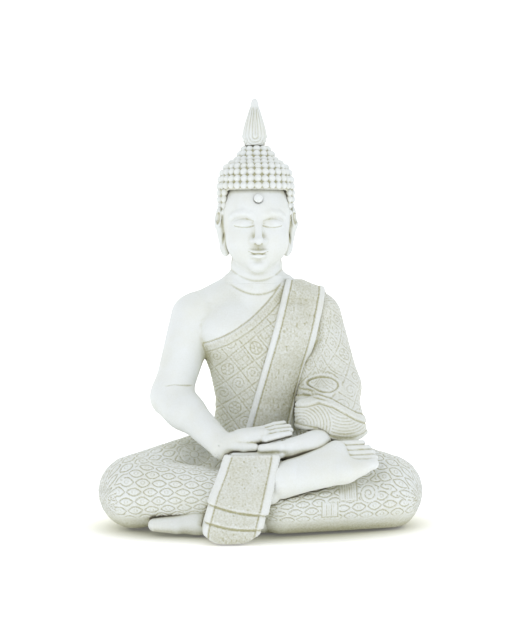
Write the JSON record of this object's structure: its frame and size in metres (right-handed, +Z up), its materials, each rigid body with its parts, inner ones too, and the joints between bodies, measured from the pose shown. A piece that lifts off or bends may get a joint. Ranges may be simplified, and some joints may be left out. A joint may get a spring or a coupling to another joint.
{
  "type": "buddha statue",
  "caption": "Seated buddha in antiqued cast stone, legs crossed and hands in the lap, with a lift-off flame finial; built from doweled castings on a threaded rod.",
  "frame": {"origin": "centre of the footprint, on the surface the figure stands on", "axes": "+Z up, -Y the way the figure faces, -X towards the figure's own right hand"},
  "size_m": [0.452, 0.25, 0.6],
  "materials": {
    "cast_stone": "matt, off-white with an olive-grey antiquing wash in the recesses",
    "steel": "zinc-plated",
    "socket_brass": "turned",
    "closing_plate": "matt grey sheet",
    "pad_rubber": "matt black"
  },
  "bodies": {
    "statue": {"seat_casting": "cast_stone", "torso_casting": "cast_stone", "head_casting": "cast_stone", "hair_cap": "cast_stone", "brow_bead": "cast_stone", "right_arm": "cast_stone", "left_sleeve": "cast_stone", "right_hand": "cast_stone", "left_hand": "cast_stone", "right_foot": "cast_stone", "left_foot": "cast_stone", "chest_sash": "cast_stone", "sash_end": "cast_stone", "central_rod": "steel", "head_insert": "steel", "rod_washer": "steel", "rod_nut": "steel", "base_screws": "steel", "right_shoulder_dowel": "steel", "left_shoulder_dowel": "steel", "right_wrist_dowel": "steel", "left_wrist_dowel": "steel", "right_foot_dowel": "steel", "left_foot_dowel": "steel", "finial_socket": "socket_brass", "base_plate": "closing_plate", "base_pad_front_right": "pad_rubber", "base_pad_front_left": "pad_rubber", "base_pad_rear_right": "pad_rubber", "base_pad_rear_left": "pad_rubber"},
    "finial": {"flame_finial": "cast_stone", "finial_pin": "steel"}
  },
  "joints": [
    {"name": "finial_lift", "type": "slide", "parent": "statue", "child": "finial", "axis": [0, 0, 1], "range_m": [0, 0.045]}
  ]
}
